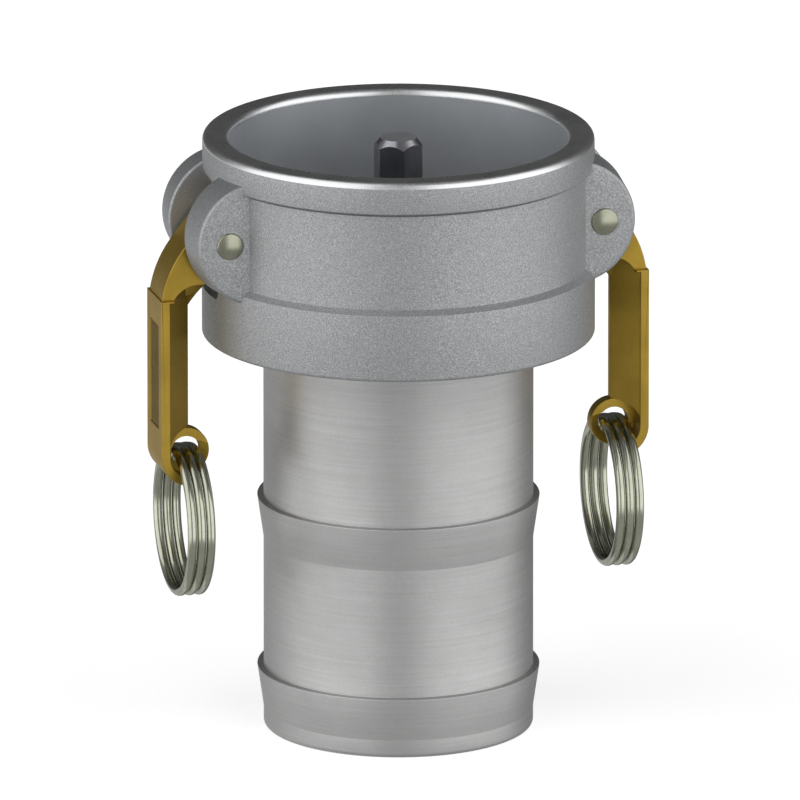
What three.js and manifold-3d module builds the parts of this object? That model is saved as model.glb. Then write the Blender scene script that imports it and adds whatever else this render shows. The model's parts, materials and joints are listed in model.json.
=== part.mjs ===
// Cam-and-groove coupler with a hose shank and a central probe.
//
// The bowl opens upwards and the hose shank stands below it. The frame is in millimetres, +Z up, with
// the origin at the centre of the shank's end face. The cam arms sit on +X (right) and -X (left), and
// their hinge pins run along Y.

import * as THREE from 'three';
import { mergeVertices } from 'three/addons/utils/BufferGeometryUtils.js';
import Module from 'manifold-3d';

const wasm = await Module();
wasm.setup();

// ---------------------------------------------------------------- driving dimensions

const HEIGHT = 217.2;                 // shank end to rim top
const FIT_GAP = 0.3;                  // between fixed neighbours
const SEGMENTS = { bowl: 60, ear: 48, outline: 10, eye: 36, curl: 48, pin: 40, hole: 24, bar: 36, turn: 36 };

const BOWL = {
  bore: 60.2,                         // radius
  rim: 69.6,
  rimDepth: 11.9,                     // height of the rim band
  rimFillet: 1.9,
  band: 67.3,                         // radius of the wall between rim and skirt
  skirt: 69.8,
  ledgeTop: 46.3,                     // depths below the rim top
  ledgeFoot: 49.6,
  underside: 72.9,
  skirtFillet: 1.2,
};

const GASKET = {
  inner: 50.8,
  outer: 61.9,
  flat: 59.7,                         // outer radius of the two flat faces, inside the bowl's lip
  thickness: 6.35,
  seatDepth: 63.6,                    // depth of the floor it lies on
  bevel: 0.8,                         // drop from the flat faces to the outer wall
};

const SHANK = {
  outer: 48.0,
  bore: 43.0,
  collar: 55.7,                       // flange that hangs the shank in the head's counterbore
  collarThickness: 4.0,
  mouth: 45.8,                        // recess that holds the probe's spider
  mouthFoot: 141.0,
  barb: 50.3,
  barbTops: [22.2, 84.7],             // heights of the two barbs' flat upper faces
  barbLength: 15.6,
  chamfer: 1.8,
};

const PIN = {
  x: 68.4,                            // distance of the hinge axis from the bowl's axis
  depth: 30.2,
  shank: 3.97,
  head: 4.95,
  crown: 1.5,
};

const EAR = {
  x: 57.2,
  depth: 30.0,
  root: 24.1,                         // radius at the inner face; the draft narrows it towards the outer face
  tip: 22.5,
  inner: 11.25,                       // |y| of the two flat faces
  outer: 27.6,
};

const SLOT = { top: 15.0, bottom: 54.3, from: 50.2, to: 80.2 };

const ARM = {
  width: 21.6,                        // across the handle
  headWidth: 18.2,                    // across the head, between the ears
  pinHole: 4.04,
  boss: { radius: 7.2, start: 115 },  // round the hinge axis; angles are in degrees from +X
  nose: { x: -8.2, z: -2.5, radius: 6.2, start: -60, end: -250 },     // cam nose, from the hinge axis
  back: { x: -19.0, z: -29.5, radius: 39.8, start: 38 },              // curved back, from the hinge axis
  backFlat: 6.7,                      // hinge axis to the straight part of the back
  heel: 5.3,                          // inner end of the flat underside, from the hinge axis
  armpit: { x: 6.9, radius: 10.2 },                                   // round hollow between head and flange
  throat: { x: -5.1, z: -7.87, bow: { x: -3.5, rise: 1.5 } },         // sweep from the heel to the nose
  face: 89.3,                         // outer face of the handle, from the bowl's axis
  flange: 3.2,
  flangeTop: 53.7,
  lip: { x: 84.5, foot: 54.5 },       // thicker upper edge of the flange
  ridge: 77.3,                        // inner edge of the tapered web
  ridgeWidth: 2.6,
  gusset: { reach: 8.5, drop: 9.0, root: 2.5, width: 4.0 }, // braces the ridge against the underside
  underside: 48.8,
  panel: { top: 63.5, bottom: 101.3, width: 12.4, depth: 0.5 },
};

const EYE = {
  x: 78.5,
  depth: 111.1,
  radius: 8.5,
  hole: 5.4,
  thickness: 5.2,
  curl: 10.8,                         // outer radius of the flange where it wraps the eye
  curlTop: 7.6,                       // height above the eye's axis where the wrap starts
  pocketFoot: 6.2,                    // the ring's pocket beside the eye, at the eye's face
  pocketMouth: 7.5,                   // and at the handle's side
  curlEnd: -71,                       // degrees below the horizontal
};

// Three flat turns of wire side by side. Each turn steps over to the next one just behind the eye.
const RING = {
  turns: 3,
  wire: 1.63,
  sides: 10,
  radius: 25.7,
  pitch: 3.45,
  step: 34,                           // degrees of the circle that one step takes
  stepStart: 3,                       // degrees behind the eye where it begins
};

const PROBE = {
  acrossFlats: 15.9,
  topDepth: 1.7,
  turn: -3,                           // direction of one flat, in degrees from +X
  chamferAngle: 50,
  chamferStart: 6.55,                 // radius of the flat top
  thread: 4.0,
  holeDepth: 20,
  threadEnd: 3,                       // unthreaded end of the tapped hole
};

const SPIDER = {
  hub: 11.0,
  hubTop: 154.0,
  hubFoot: 137.0,
  rib: 6.0,
  ring: 43.0,                         // inner radius of the ring that joins the ribs
  top: 153.3,
  hole: 4.3,
};
const WASHER = { inner: 4.3, outer: 8.0, thickness: 1.6 };
const LOCK_WASHER = { inner: 4.3, outer: 7.2, thickness: 2.0, split: 0.9 };
const BOLT_HEAD = { acrossFlats: 13.0, height: 5.3 };

const OVERSHOOT = 1.0;                // how far a cutter passes the face it cuts
const OVERLAP = 0.8;                  // how far two joined solids run into each other

const atDepth = (depth) => HEIGHT - depth;
const PIN_Z = atDepth(PIN.depth);
const EYE_Z = atDepth(EYE.depth);

// ---------------------------------------------------------------- solids

// A closed three.js geometry as a manifold solid.
function toSolid(source) {
  const bare = source.clone();
  bare.deleteAttribute('normal');
  bare.deleteAttribute('uv');
  const merged = mergeVertices(bare, 1e-4);
  const index = merged.getIndex().array;
  const triangles = [];
  for (let i = 0; i < index.length; i += 3) {
    const [a, b, c] = [index[i], index[i + 1], index[i + 2]];
    if (a !== b && b !== c && c !== a) triangles.push(a, b, c);
  }
  return new wasm.Manifold(new wasm.Mesh({
    numProp: 3,
    vertProperties: new Float32Array(merged.getAttribute('position').array),
    triVerts: new Uint32Array(triangles),
  }));
}

function toGeometry(solid) {
  const mesh = solid.getMesh();
  const geometry = new THREE.BufferGeometry();
  geometry.setAttribute('position', new THREE.BufferAttribute(mesh.vertProperties, 3));
  geometry.setIndex(new THREE.BufferAttribute(mesh.triVerts, 1));
  geometry.computeVertexNormals();
  return geometry;
}

const union = (...solids) => solids.reduce((whole, solid) => whole.add(solid));

// A closed (radius, height) profile turned about Z. The profile runs with its material on the left.
function turnedZ(profile, segments) {
  const points = profile.map(([radius, height]) => new THREE.Vector2(radius, height));
  points.push(points[0].clone());
  return toSolid(new THREE.LatheGeometry(points, segments).rotateX(Math.PI / 2));
}

// The same about an axis along Y through (x, z).
function turnedY(profile, segments, x, z) {
  const points = profile.map(([radius, height]) => new THREE.Vector2(radius, height));
  points.push(points[0].clone());
  return toSolid(new THREE.LatheGeometry(points, segments).translate(x, 0, z));
}

// A shape drawn in X and Z, extruded along Y between two planes.
function slabY(shape, from, to, curveSegments = 12) {
  const geometry = new THREE.ExtrudeGeometry(shape, { depth: to - from, bevelEnabled: false, curveSegments });
  return toSolid(geometry.rotateX(Math.PI / 2).translate(0, to, 0));
}

function box(sizeX, sizeY, sizeZ, x, y, z) {
  return toSolid(new THREE.BoxGeometry(sizeX, sizeY, sizeZ).translate(x, y, z));
}

function cylinderY(radius, from, to, x, z, segments) {
  const geometry = new THREE.CylinderGeometry(radius, radius, to - from, segments);
  return toSolid(geometry.translate(x, (from + to) / 2, z));
}

function cylinderZ(radius, from, to, segments) {
  const geometry = new THREE.CylinderGeometry(radius, radius, to - from, segments).rotateX(Math.PI / 2);
  return toSolid(geometry.translate(0, 0, (from + to) / 2));
}

// A six-sided bar along Z with one flat facing the given direction, in degrees from +X.
function hexBarZ(acrossFlats, from, to, flatDirection) {
  const corner = acrossFlats / Math.sqrt(3);
  const geometry = new THREE.CylinderGeometry(corner, corner, to - from, 6).rotateX(Math.PI / 2);
  geometry.rotateZ(THREE.MathUtils.degToRad(flatDirection));
  return toSolid(geometry.translate(0, 0, (from + to) / 2));
}

// ---------------------------------------------------------------- materials

const finish = (color, roughness, metalness) => new THREE.MeshStandardMaterial({ color, roughness, metalness });
const MATERIALS = {
  aluminium: finish(0x9a9a98, 0.5, 0.9),
  turned: finish(0xb0b0ae, 0.35, 0.9),
  rubber: finish(0x1c1c1e, 0.8, 0.0),
  brass: finish(0x9a7728, 0.35, 0.9),
  stainless: finish(0x8f9088, 0.25, 1.0),
  steel: finish(0x7d7f80, 0.35, 0.95),
};

// ---------------------------------------------------------------- coupler head

const SEAT_Z = atDepth(GASKET.seatDepth);
const COLLAR_FOOT_Z = SEAT_Z - SHANK.collarThickness;

function headOfRevolution() {
  const underside = atDepth(BOWL.underside);
  const groove = { radius: GASKET.outer + FIT_GAP, top: SEAT_Z + GASKET.thickness + 2 * FIT_GAP };
  const base = { hole: SHANK.outer + FIT_GAP, recess: SHANK.collar + FIT_GAP, floor: COLLAR_FOOT_Z - FIT_GAP };
  const profile = [
    [base.hole, underside],
    [BOWL.skirt - BOWL.skirtFillet, underside],
    [BOWL.skirt, underside + BOWL.skirtFillet],
    [BOWL.skirt, atDepth(BOWL.ledgeFoot)],
    [BOWL.band, atDepth(BOWL.ledgeTop)],
    [BOWL.band, atDepth(BOWL.rimDepth)],
    [BOWL.rim, atDepth(BOWL.rimDepth)],
    [BOWL.rim, HEIGHT - BOWL.rimFillet],
    [BOWL.rim - BOWL.rimFillet, HEIGHT],
    [BOWL.bore + BOWL.rimFillet, HEIGHT],
    [BOWL.bore, HEIGHT - BOWL.rimFillet],
    [BOWL.bore, groove.top],
    [groove.radius, groove.top],
    [groove.radius, SEAT_Z],
    [base.recess, SEAT_Z],
    [base.recess, base.floor],
    [base.hole, base.floor],
  ];
  return turnedZ(profile, SEGMENTS.bowl);
}

// The pair of hinge ears on one side, as tapered discs that reach into the bowl's wall.
function earPair(side) {
  const { x, root, tip, inner, outer } = EAR;
  const z = atDepth(EAR.depth);
  const back = turnedY([[0, inner], [root, inner], [tip, outer], [0, outer]], SEGMENTS.ear, side * x, z);
  const front = turnedY([[0, -outer], [tip, -outer], [root, -inner], [0, -inner]], SEGMENTS.ear, side * x, z);
  return front.add(back);
}

// The window that lets one cam nose reach the bore.
function slotCutter(side) {
  const height = SLOT.bottom - SLOT.top;
  const x = side * (SLOT.from + SLOT.to) / 2;
  return box(SLOT.to - SLOT.from, 2 * EAR.inner, height, x, 0, atDepth(SLOT.top + height / 2));
}

function couplerHead() {
  const boreCutter = cylinderZ(BOWL.bore, SEAT_Z, HEIGHT + OVERSHOOT, SEGMENTS.bowl);
  const ears = earPair(1).add(earPair(-1)).subtract(boreCutter);
  let head = headOfRevolution().add(ears);
  for (const side of [1, -1]) {
    head = head.subtract(slotCutter(side));
    const hole = PIN.shank + FIT_GAP;
    const reach = EAR.outer + OVERSHOOT;
    head = head.subtract(cylinderY(hole, -reach, reach, side * PIN.x, PIN_Z, SEGMENTS.hole));
  }
  return head;
}

// ---------------------------------------------------------------- hose shank

function barbProfile(top) {
  return [[SHANK.outer, top - SHANK.barbLength], [SHANK.barb, top], [SHANK.outer, top]];
}

function hoseShank() {
  return turnedZ([
    [SHANK.bore, 0],
    [SHANK.outer - SHANK.chamfer, 0],
    [SHANK.outer, SHANK.chamfer],
    ...SHANK.barbTops.flatMap(barbProfile),
    [SHANK.outer, COLLAR_FOOT_Z],
    [SHANK.collar, COLLAR_FOOT_Z],
    [SHANK.collar, SEAT_Z],
    [SHANK.mouth, SEAT_Z],
    [SHANK.mouth, SHANK.mouthFoot],
    [SHANK.bore, SHANK.mouthFoot],
  ], SEGMENTS.bowl);
}

// ---------------------------------------------------------------- gasket

function gasket() {
  const foot = SEAT_Z + FIT_GAP;
  const top = foot + GASKET.thickness;
  const { inner, outer, flat, bevel } = GASKET;
  return turnedZ([
    [inner, foot], [flat, foot], [outer, foot + bevel], [outer, top - bevel], [flat, top], [inner, top],
  ], SEGMENTS.bowl);
}

// ---------------------------------------------------------------- cam arm (right-hand side, +X)

// Side outline of the head: cam nose, boss and curved back. Drawn from the hinge axis, then moved to it.
function headOutline() {
  const { nose, back, boss, armpit, throat } = ARM;
  const rad = THREE.MathUtils.degToRad;
  const bossEnd = rad(back.start) + Math.acos(ARM.backFlat / boss.radius);
  const flangeTop = atDepth(ARM.flangeTop) - PIN_Z;
  const foot = flangeTop - OVERLAP / 2;
  const backEnd = Math.asin((flangeTop - back.z) / back.radius);
  const underside = atDepth(ARM.underside) - PIN_Z;
  const armpitZ = underside - armpit.radius;
  const armpitStart = Math.asin((foot - armpitZ) / armpit.radius);
  const shape = new THREE.Shape();
  shape.moveTo(boss.radius * Math.cos(rad(boss.start)), boss.radius * Math.sin(rad(boss.start)));
  shape.absarc(0, 0, boss.radius, rad(boss.start), bossEnd, true);
  shape.absarc(back.x, back.z, back.radius, rad(back.start), backEnd, true);
  shape.lineTo(back.x + back.radius * Math.cos(backEnd), foot);
  shape.absarc(armpit.x, armpitZ, armpit.radius, armpitStart, Math.PI / 2, false);
  shape.lineTo(ARM.heel, underside);
  shape.quadraticCurveTo(throat.bow.x, underside + throat.bow.rise, throat.x, throat.z);
  shape.absarc(nose.x, nose.z, nose.radius, rad(nose.start), rad(nose.end), true);
  shape.closePath();
  return shape;
}

// Side outline of the handle's flange, down to the eye.
function flangeOutline() {
  const top = atDepth(ARM.flangeTop);
  const lipFoot = atDepth(ARM.lip.foot);
  const inside = ARM.face - ARM.flange;
  return new THREE.Shape([
    new THREE.Vector2(ARM.lip.x, top),
    new THREE.Vector2(ARM.face, top),
    new THREE.Vector2(ARM.face, EYE_Z),
    new THREE.Vector2(inside, EYE_Z),
    new THREE.Vector2(inside, lipFoot),
    new THREE.Vector2(ARM.lip.x, lipFoot),
  ].reverse());
}

// The tapered web behind the flange. It runs up into the narrower head.
function armWeb() {
  const half = ARM.width / 2;
  const root = ARM.face - ARM.flange + OVERLAP;
  const section = new THREE.Shape([
    new THREE.Vector2(ARM.ridge, -ARM.ridgeWidth / 2),
    new THREE.Vector2(root, -half),
    new THREE.Vector2(root, half),
    new THREE.Vector2(ARM.ridge, ARM.ridgeWidth / 2),
  ]);
  const rise = (top) => {
    const web = new THREE.ExtrudeGeometry(section, { depth: top - EYE_Z, bevelEnabled: false });
    return toSolid(web.translate(0, 0, EYE_Z));
  };
  const height = 2 * (atDepth(ARM.underside) - EYE_Z);
  const headRoom = box(2 * ARM.width, ARM.headWidth, height, root, 0, EYE_Z + height / 2);
  return rise(atDepth(ARM.flangeTop) - OVERLAP / 2)
    .add(rise(atDepth(ARM.underside) + OVERLAP).intersect(headRoom));
}

// The thin gusset that carries the web's ridge up into the head.
function armGusset() {
  const { reach, drop, root, width } = ARM.gusset;
  const underside = atDepth(ARM.underside);
  const shape = new THREE.Shape([
    new THREE.Vector2(ARM.ridge + OVERLAP, underside - drop - OVERLAP),
    new THREE.Vector2(ARM.ridge + OVERLAP, underside + root),
    new THREE.Vector2(ARM.ridge - reach, underside + root),
    new THREE.Vector2(ARM.ridge - reach, underside),
    new THREE.Vector2(ARM.ridge, underside - drop),
  ]);
  return slabY(shape, -width / 2, width / 2);
}

// The flange's curl round the eye, with the ring's pockets cut in both sides.
function armCurl() {
  const half = ARM.width / 2;
  const reach = 3 * EYE.curl;
  const end = THREE.MathUtils.degToRad(EYE.curlEnd);
  const sector = new THREE.Shape([
    new THREE.Vector2(EYE.x, EYE_Z),
    new THREE.Vector2(EYE.x + reach * Math.cos(end), EYE_Z + reach * Math.sin(end)),
    new THREE.Vector2(EYE.x + reach, EYE_Z - reach),
    new THREE.Vector2(EYE.x + reach, EYE_Z + EYE.curlTop),
    new THREE.Vector2(EYE.x, EYE_Z + EYE.curlTop),
  ]);
  const round = cylinderY(EYE.curl, -half, half, EYE.x, EYE_Z, SEGMENTS.curl);
  return round.intersect(slabY(sector, -half - OVERSHOOT, half + OVERSHOOT));
}

function ringPocket(side) {
  const foot = EYE.thickness / 2;
  const mouth = ARM.width / 2 + OVERSHOOT;
  const slope = (EYE.pocketMouth - EYE.pocketFoot) / (ARM.width / 2 - foot);
  const mouthRadius = EYE.pocketFoot + slope * (mouth - foot);
  const [upper, lower] = side > 0 ? [mouthRadius, EYE.pocketFoot] : [EYE.pocketFoot, mouthRadius];
  const cone = new THREE.CylinderGeometry(upper, lower, mouth - foot, SEGMENTS.curl);
  return toSolid(cone.translate(EYE.x, side * (foot + mouth) / 2, EYE_Z));
}

// A shallow blank panel in the handle's outer face.
function panelCutter() {
  const { top, bottom, width, depth } = ARM.panel;
  const thickness = depth + OVERSHOOT;
  return box(thickness, width, bottom - top, ARM.face - depth + thickness / 2, 0, atDepth((top + bottom) / 2));
}

function camArm() {
  const half = ARM.width / 2;
  const reach = half + OVERSHOOT;
  const headHalf = ARM.headWidth / 2;
  const head = slabY(headOutline(), -headHalf, headHalf, SEGMENTS.outline).translate([PIN.x, 0, PIN_Z]);
  const flange = slabY(flangeOutline(), -half, half);
  const tab = cylinderY(EYE.radius, -EYE.thickness / 2, EYE.thickness / 2, EYE.x, EYE_Z, SEGMENTS.eye);
  return union(head, flange, armWeb(), armGusset(), armCurl())
    .subtract(ringPocket(1))
    .subtract(ringPocket(-1))
    .add(tab)
    .subtract(cylinderY(EYE.hole, -half, half, EYE.x, EYE_Z, SEGMENTS.eye))
    .subtract(cylinderY(ARM.pinHole, -reach, reach, PIN.x, PIN_Z, SEGMENTS.pin))
    .subtract(panelCutter());
}

// ---------------------------------------------------------------- hinge pin

function armPin() {
  const faceY = EAR.outer + FIT_GAP;
  const steps = 3;
  const crown = [];
  for (let i = 0; i <= steps; i += 1) {
    const angle = (i / steps) * Math.PI / 2;
    crown.push([PIN.head * Math.cos(angle), faceY + PIN.crown * Math.sin(angle)]);
  }
  crown[steps][0] = 0;
  const lower = crown.map(([radius, y]) => [radius, -y]).reverse();
  const profile = [...lower, [PIN.shank, -faceY], [PIN.shank, faceY], ...crown];
  return turnedY(profile, SEGMENTS.pin, PIN.x, PIN_Z);
}

// ---------------------------------------------------------------- pull ring

// The wire's centre line, run from the start of the first turn down the back and up the front.
class Coil extends THREE.Curve {
  getPoint(t, target = new THREE.Vector3()) {
    const flat = 360 - RING.step;
    const run = t * (RING.turns * 360 - RING.step);
    const turn = Math.floor(run / 360);
    const stepped = Math.max(0, run - 360 * turn - flat) / RING.step;
    const x = RING.pitch * ((RING.turns - 1) / 2 - turn - (1 - Math.cos(Math.PI * stepped)) / 2);
    const angle = THREE.MathUtils.degToRad(90 - RING.stepStart - RING.step - run);
    return target.set(x, RING.radius * Math.cos(angle), RING.radius * Math.sin(angle));
  }
}

function pullRing() {
  const wire = new THREE.Shape().absarc(0, 0, RING.wire, 0, 2 * Math.PI, false);
  const coil = new THREE.ExtrudeGeometry(wire, {
    steps: SEGMENTS.turn * RING.turns,
    curveSegments: RING.sides / 2,
    bevelEnabled: false,
    extrudePath: new Coil(),
  });
  return toSolid(coil.translate(EYE.x, 0, EYE_Z - RING.radius));
}

// ---------------------------------------------------------------- probe and its fastening

// A ring with four ribs that carries the probe's hub across the throat.
function probeSpider() {
  const foot = SHANK.mouthFoot + FIT_GAP;
  const outer = SHANK.mouth - FIT_GAP;
  const ribLength = SPIDER.ring + outer;
  const height = SPIDER.top - foot;
  const z = (SPIDER.top + foot) / 2;
  const ring = turnedZ([
    [SPIDER.ring, foot], [outer, foot], [outer, SPIDER.top], [SPIDER.ring, SPIDER.top],
  ], SEGMENTS.bowl);
  return union(
    ring,
    cylinderZ(SPIDER.hub, SPIDER.hubFoot, SPIDER.hubTop, SEGMENTS.bar),
    box(ribLength, SPIDER.rib, height, 0, 0, z),
    box(SPIDER.rib, ribLength, height, 0, 0, z),
  ).subtract(cylinderZ(SPIDER.hole, SPIDER.hubFoot - OVERSHOOT, SPIDER.hubTop + OVERSHOOT, SEGMENTS.hole));
}

function probePost() {
  const foot = SPIDER.hubTop + FIT_GAP;
  const top = atDepth(PROBE.topDepth);
  const slope = Math.tan(THREE.MathUtils.degToRad(PROBE.chamferAngle));
  const reach = PROBE.acrossFlats;
  const envelope = turnedZ([
    [0, foot - OVERSHOOT],
    [reach, foot - OVERSHOOT],
    [reach, top - (reach - PROBE.chamferStart) * slope],
    [PROBE.chamferStart, top],
    [0, top],
  ], SEGMENTS.bar);
  const tapped = cylinderZ(PROBE.thread + FIT_GAP, foot - OVERSHOOT, foot + PROBE.holeDepth, SEGMENTS.hole);
  return hexBarZ(PROBE.acrossFlats, foot, top + OVERSHOOT, PROBE.turn).intersect(envelope).subtract(tapped);
}

const washerTop = SPIDER.hubFoot - FIT_GAP;
const lockWasherTop = washerTop - WASHER.thickness - FIT_GAP;
const boltHeadTop = lockWasherTop - LOCK_WASHER.thickness - FIT_GAP;

function flatRing(inner, outer, foot, top) {
  return turnedZ([[inner, foot], [outer, foot], [outer, top], [inner, top]], SEGMENTS.bar);
}

function probeWasher() {
  return flatRing(WASHER.inner, WASHER.outer, washerTop - WASHER.thickness, washerTop);
}

function probeLockWasher() {
  const { inner, outer, thickness, split } = LOCK_WASHER;
  const ring = flatRing(inner, outer, lockWasherTop - thickness, lockWasherTop);
  const z = lockWasherTop - thickness / 2;
  return ring.subtract(box(outer, split, 2 * thickness, outer / 2 + OVERSHOOT, 0, z));
}

function probeBolt() {
  const tip = SPIDER.hubTop + PROBE.holeDepth - PROBE.threadEnd;
  const head = hexBarZ(BOLT_HEAD.acrossFlats, boltHeadTop - BOLT_HEAD.height, boltHeadTop, PROBE.turn);
  return head.add(cylinderZ(PROBE.thread, boltHeadTop - OVERLAP, tip, SEGMENTS.hole));
}

// ---------------------------------------------------------------- assembly

function part(name, solid, material) {
  const mesh = new THREE.Mesh(toGeometry(solid), material);
  mesh.name = name;
  return mesh;
}

const coupling = new THREE.Group();
coupling.add(
  part('coupler_head', couplerHead(), MATERIALS.aluminium),
  part('hose_shank', hoseShank(), MATERIALS.turned),
  part('probe_spider', probeSpider(), MATERIALS.aluminium),
  part('bowl_gasket', gasket(), MATERIALS.rubber),
  part('probe_post', probePost(), MATERIALS.steel),
  part('probe_bolt', probeBolt(), MATERIALS.steel),
  part('probe_washer', probeWasher(), MATERIALS.steel),
  part('probe_lock_washer', probeLockWasher(), MATERIALS.steel),
);

// The left arm and its pin are the right ones turned half way round the bowl's axis.
for (const [side, turn] of [['right', 0], ['left', Math.PI]]) {
  const set = new THREE.Group();
  set.rotation.z = turn;
  set.add(
    part(`cam_arm_${side}`, camArm(), MATERIALS.brass),
    part(`arm_pin_${side}`, armPin(), MATERIALS.stainless),
  );
  coupling.add(set);
}

// Both pull rings are wound alike and hang the same way round.
for (const [side, shift] of [['right', 0], ['left', -2 * EYE.x]]) {
  coupling.add(part(`pull_ring_${side}`, pullRing().translate([shift, 0, 0]), MATERIALS.stainless));
}

export default coupling;
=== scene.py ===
"""Looks of the cam-and-groove coupler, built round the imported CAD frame.

Shapes are worked out in millimetres and scaled to metres when a mesh is made.
"""

import json
import math

import bmesh
import bpy
from mathutils import Matrix, Vector

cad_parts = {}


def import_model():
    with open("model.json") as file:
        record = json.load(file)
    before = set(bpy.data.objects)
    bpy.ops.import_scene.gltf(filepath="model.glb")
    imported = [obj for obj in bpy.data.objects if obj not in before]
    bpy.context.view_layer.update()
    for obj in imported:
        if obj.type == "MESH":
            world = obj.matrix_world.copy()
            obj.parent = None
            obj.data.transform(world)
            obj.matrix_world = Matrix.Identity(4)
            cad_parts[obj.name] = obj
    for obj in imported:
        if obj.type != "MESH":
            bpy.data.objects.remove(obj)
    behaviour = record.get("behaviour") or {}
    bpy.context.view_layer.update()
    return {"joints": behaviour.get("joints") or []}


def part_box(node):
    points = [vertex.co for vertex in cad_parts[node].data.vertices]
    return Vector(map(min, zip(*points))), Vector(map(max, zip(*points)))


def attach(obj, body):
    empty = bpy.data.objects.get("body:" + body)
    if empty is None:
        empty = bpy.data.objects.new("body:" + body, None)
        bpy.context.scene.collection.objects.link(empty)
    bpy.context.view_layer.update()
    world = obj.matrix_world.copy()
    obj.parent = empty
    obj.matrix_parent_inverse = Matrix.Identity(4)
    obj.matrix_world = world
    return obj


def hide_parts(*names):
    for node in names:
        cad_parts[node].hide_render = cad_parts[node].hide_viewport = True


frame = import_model()

# ------------------------------------------------------------------ sizes read from the frame, in millimetres

MM = 0.001
JOINTS = {joint["name"]: joint for joint in frame["joints"]}


def box_mm(node):
    low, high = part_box(node)
    return low / MM, high / MM


def joint_mm(name):
    return Vector(JOINTS[name]["pos_m"]) / MM


HEAD_LOW, HEAD_HIGH = box_mm("coupler_head")
SHANK_HIGH = box_mm("hose_shank")[1]
GASKET_LOW, GASKET_HIGH = box_mm("bowl_gasket")
SPIDER_LOW, SPIDER_HIGH = box_mm("probe_spider")
POST_LOW, POST_HIGH = box_mm("probe_post")
BOLT_LOW, BOLT_HIGH = box_mm("probe_bolt")
WASHER_LOW, WASHER_HIGH = box_mm("probe_washer")
LOCK_LOW, LOCK_HIGH = box_mm("probe_lock_washer")
ARM_HIGH = box_mm("cam_arm_right")[1]
PIN_HIGH = box_mm("arm_pin_right")[1]
RING_LOW, RING_HIGH = box_mm("pull_ring_right")
PIN = joint_mm("right_arm_hinge")
EYE = joint_mm("right_ring_swing")
TOP = HEAD_HIGH.z                       # the rim's top face
SEAT = SHANK_HIGH.z                     # the gasket's seat

# ------------------------------------------------------------------ sizes that the frame doesn't state

FINE = 192                              # segments round the bowl
BOWL_BORE = 60.2
RIM_RADIUS, RIM_DEPTH = 69.6, 11.9
RIM_EDGE, BORE_EDGE = 2.5, 2.7          # fillets of the rim's two edges
RIM_ZONE = 2.6                          # depth to which the rim is machined
BAND_RADIUS = 67.3
LINE_DEPTH, LINE_HEIGHT = 0.7, 1.1      # the cut line under the rim
LEDGE_TOP, LEDGE_FOOT = 47.0, 48.8      # depths below the rim
GROOVE_RADIUS = 62.2
SEAM = 0.15                             # what is left of the gaps between fixed pieces
COUNTERBORE = SHANK_HIGH.x + 0.12
COLLAR_FOOT = SEAT - 4.0
EAR_X, EAR_DEPTH, EAR_ROOT, EAR_TIP = 57.2, 30.0, 24.1, 22.5
EAR_INNER, EAR_OUTER = 11.3, 27.6
SLOT_HALF, SLOT_TOP, SLOT_FOOT, SLOT_CORNER = 11.25, 15.0, 54.3, 2.5
SHANK_RADIUS, SHANK_BORE = 48.0, 43.0
BARB_RADIUS, BARB_TOPS, BARB_LENGTH = 50.3, (22.2, 84.7), 15.6
MOUTH_RADIUS, MOUTH_FOOT = 45.8, 141.0
PIN_SHANK = 3.97
PIN_FIT, ARM_FIT = 0.03, 0.07           # room round the pin in the ears and in the arm
HUB_RADIUS, RIB_FOOT_HALF, RIB_TOP_HALF = 11.0, 3.0, 2.7
BOLT_HOLE = 4.3                         # through the hub and both washers
BOLT_RADIUS, BOLT_FLATS, BOLT_HEAD = 4.0, 13.0, 5.3
BOLT_CHAMFER_RADIUS, BOLT_CHAMFER = 6.2, 30
LOCK_RADIUS = 7.2
POST_FLATS, POST_CHAMFER_RADIUS, POST_CHAMFER = 15.9, 6.55, 50
TAP_RADIUS, TAP_DEPTH, TAP_POINT = 4.2, 19, 21
PROBE_TURN = math.radians(-3)
WIRE = 1.63


def depth(value):
    return TOP - value


# ------------------------------------------------------------------ outlines


def arc(cx, cy, radius, start, end, steps):
    """Points on an arc between two angles in degrees."""
    turn = [math.radians(start + (end - start) * i / steps) for i in range(steps + 1)]
    return [(cx + radius * math.cos(t), cy + radius * math.sin(t)) for t in turn]


def rounded(corners, steps=5):
    """A closed outline from (x, y, fillet radius) corners."""
    points = []
    count = len(corners)
    for i, (x, y, radius) in enumerate(corners):
        here = Vector((x, y))
        if radius <= 0:
            points.append((x, y))
            continue
        before = (Vector(corners[i - 1][:2]) - here)
        after = (Vector(corners[(i + 1) % count][:2]) - here)
        u, v = before.normalized(), after.normalized()
        half = u.angle(v) / 2
        reach = min(radius / math.tan(half), 0.49 * before.length, 0.49 * after.length)
        actual = reach * math.tan(half)
        centre = here + (u + v).normalized() * (actual / math.sin(half))
        start, end = here + u * reach - centre, here + v * reach - centre
        sweep = start.angle_signed(end)
        for k in range(steps + 1):
            turned = start.copy()
            turned.rotate(Matrix.Rotation(-sweep * k / steps, 2))
            points.append(tuple(centre + turned))
    return points


def clean(points, least=1e-4):
    """The outline without repeated points."""
    kept = []
    for point in points:
        if not kept or (Vector(point) - Vector(kept[-1])).length > least:
            kept.append(point)
    if (Vector(kept[0]) - Vector(kept[-1])).length < least:
        kept.pop()
    return kept


def inset(points, distance):
    """A closed outline moved inwards, for outlines that run anticlockwise."""
    moved = []
    count = len(points)
    for i in range(count):
        a, b, c = (Vector(points[(i + k) % count]) for k in (-1, 0, 1))
        u, v = (b - a).normalized(), (c - b).normalized()
        normal = Vector((-u.y, u.x)) + Vector((-v.y, v.x))
        if normal.length < 1e-6:
            moved.append(tuple(b))
            continue
        normal.normalize()
        stretch = min(1.6, 1 / max(0.3, normal.dot(Vector((-v.y, v.x)))))
        moved.append(tuple(b + normal * distance * stretch))
    return moved


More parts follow.
